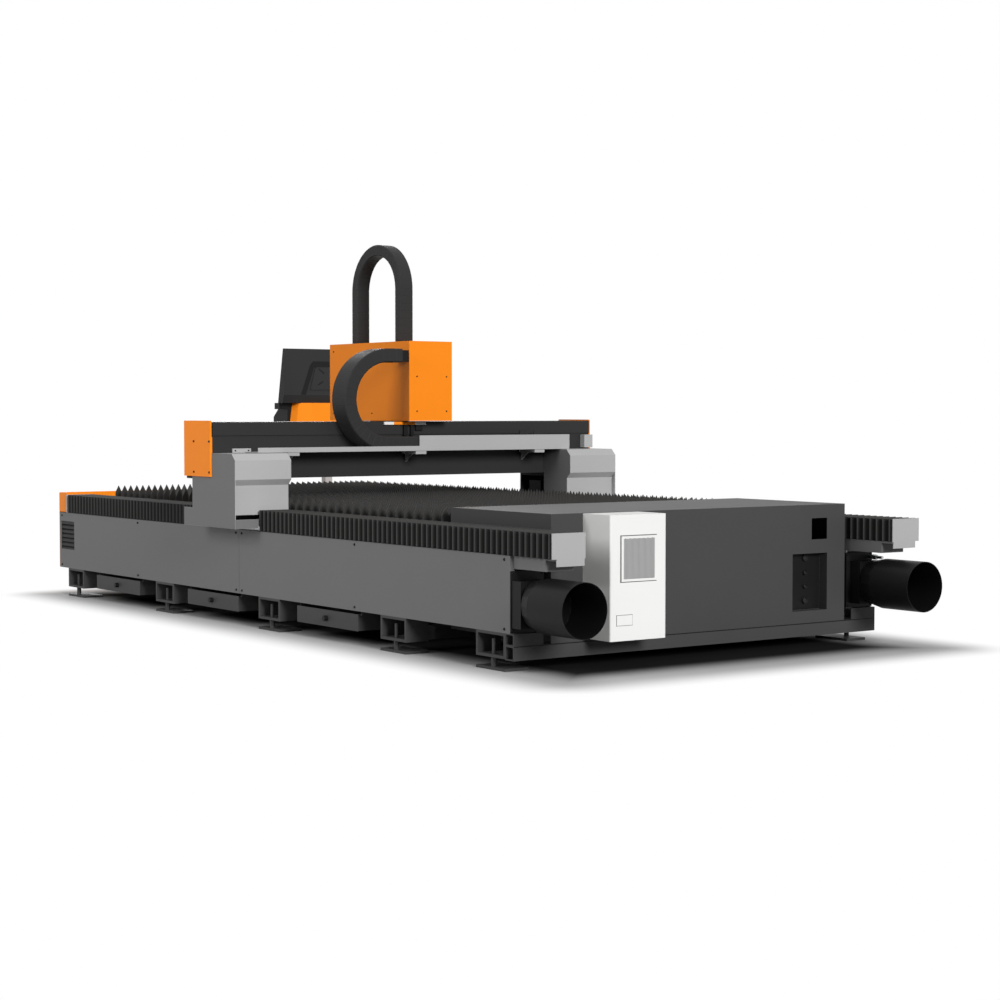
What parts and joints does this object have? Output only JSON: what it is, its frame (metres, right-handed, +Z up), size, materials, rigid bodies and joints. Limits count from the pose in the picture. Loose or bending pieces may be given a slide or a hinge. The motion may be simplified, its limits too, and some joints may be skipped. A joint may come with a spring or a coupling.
{
  "type": "fiber laser cutting machine",
  "caption": "Flat-bed fiber laser cutting machine with a moving gantry, cutting head, toothed slat bed, rear laser cabinet, scrap drawers and a front control console.",
  "frame": {"origin": "middle of the machine's bounding box, on the floor", "axes": "+X along the bed towards the rear cabinet, +Y across the bed towards the console's side, +Z up"},
  "size_m": [5.286, 2.403, 1.98],
  "materials": {
    "orange_paint": "fine satin orange powder coat",
    "grey_paint": "fine textured grey powder coat",
    "light_grey_paint": "satin light grey powder coat",
    "dark_grey_paint": "fine textured dark grey powder coat",
    "charcoal_paint": "satin charcoal paint",
    "white_paint": "satin white powder coat",
    "black_paint": "satin black paint",
    "slat_steel": "dark mill scale, blank cut edges",
    "bright_steel": "ground and fine brushed",
    "aluminium": "fine matt anodised",
    "brass": "turned",
    "black_plastic": "fine matt",
    "bellows_cloth": "coated cloth, matt",
    "red_plastic": "glossy",
    "green_plastic": "glossy",
    "screen_glass": "smooth dark glass"
  },
  "bodies": {
    "bed": {"foot_plates": "dark_grey_paint", "levelling_bolts": "dark_grey_paint", "foot_tubes": "dark_grey_paint", "base_tubes": "dark_grey_paint", "side_beams": "grey_paint", "rail_beams": "grey_paint", "rails_and_racks": "bright_steel", "cross_beams": "dark_grey_paint", "slat_ledges": "grey_paint", "slats": "slat_steel", "side_panels": "grey_paint", "vent_louvres": "black_plastic", "front_end_cover": "orange_paint", "rear_cabinet": "dark_grey_paint", "cabinet_lid": "dark_grey_paint", "laser_source": "black_paint", "ac_housing": "white_paint", "ac_grille": "white_paint", "left_exhaust_duct": "black_paint", "right_exhaust_duct": "black_paint", "rear_bellows": "bellows_cloth", "front_bellows": "bellows_cloth", "bellows_end_plates": "light_grey_paint", "drawer_runners": "dark_grey_paint", "console_post": "light_grey_paint", "console_desk": "orange_paint", "desk_panel": "black_paint", "monitor_housing": "black_plastic", "screen": "screen_glass"},
    "gantry": {"beam": "charcoal_paint", "beam_cover": "charcoal_paint", "end_caps": "orange_paint", "column_covers": "light_grey_paint", "saddles": "charcoal_paint", "x_slide_blocks": "bright_steel", "x_motors": "black_paint", "cable_tray": "light_grey_paint", "beam_rails": "bright_steel", "y_chain": "black_plastic", "chain_anchor": "black_plastic"},
    "carriage": {"carriage_plate": "aluminium", "carriage_cover": "orange_paint", "y_slide_blocks": "bright_steel", "y_motor": "black_paint", "chain_bracket": "black_paint", "z_mount": "aluminium", "z_motor": "black_paint", "z_chain": "black_plastic"},
    "head": {"z_slide_plate": "aluminium", "z_slide_blocks": "bright_steel", "cutting_head": "aluminium", "nozzle": "brass"},
    "drawer_1": {"drawer_1": "dark_grey_paint"},
    "drawer_2": {"drawer_2": "dark_grey_paint"},
    "drawer_3": {"drawer_3": "dark_grey_paint"},
    "drawer_4": {"drawer_4": "dark_grey_paint"},
    "drawer_5": {"drawer_5": "dark_grey_paint"},
    "drawer_6": {"drawer_6": "dark_grey_paint"},
    "e_stop_button": {"e_stop_button": "red_plastic"},
    "start_button": {"start_button": "green_plastic"}
  },
  "joints": [
    {"name": "gantry_x", "type": "slide", "parent": "bed", "child": "gantry", "axis": [1, 0, 0], "range_m": [-1.35, 1.75], "deforming": ["rear_bellows", "front_bellows"]},
    {"name": "carriage_y", "type": "slide", "parent": "gantry", "child": "carriage", "axis": [0, 1, 0], "range_m": [-0.76, 0.69], "deforming": ["y_chain"]},
    {"name": "head_z", "type": "slide", "parent": "carriage", "child": "head", "axis": [0, 0, 1], "range_m": [-0.085, 0.065], "deforming": ["z_chain"]},
    {"name": "drawer_1_slide", "type": "slide", "parent": "bed", "child": "drawer_1", "axis": [0, -1, 0], "range_m": [0, 0.5]},
    {"name": "drawer_2_slide", "type": "slide", "parent": "bed", "child": "drawer_2", "axis": [0, -1, 0], "range_m": [0, 0.5]},
    {"name": "drawer_3_slide", "type": "slide", "parent": "bed", "child": "drawer_3", "axis": [0, -1, 0], "range_m": [0, 0.5]},
    {"name": "drawer_4_slide", "type": "slide", "parent": "bed", "child": "drawer_4", "axis": [0, 1, 0], "range_m": [0, 0.5]},
    {"name": "drawer_5_slide", "type": "slide", "parent": "bed", "child": "drawer_5", "axis": [0, 1, 0], "range_m": [0, 0.5]},
    {"name": "drawer_6_slide", "type": "slide", "parent": "bed", "child": "drawer_6", "axis": [0, 1, 0], "range_m": [0, 0.5]},
    {"name": "e_stop_press", "type": "slide", "parent": "bed", "child": "e_stop_button", "axis": [0.6508, 0, -0.7593], "range_m": [0, 0.006]},
    {"name": "start_press", "type": "slide", "parent": "bed", "child": "start_button", "axis": [0.6508, 0, -0.7593], "range_m": [0, 0.006], "stiffness_N_per_m": 400}
  ]
}
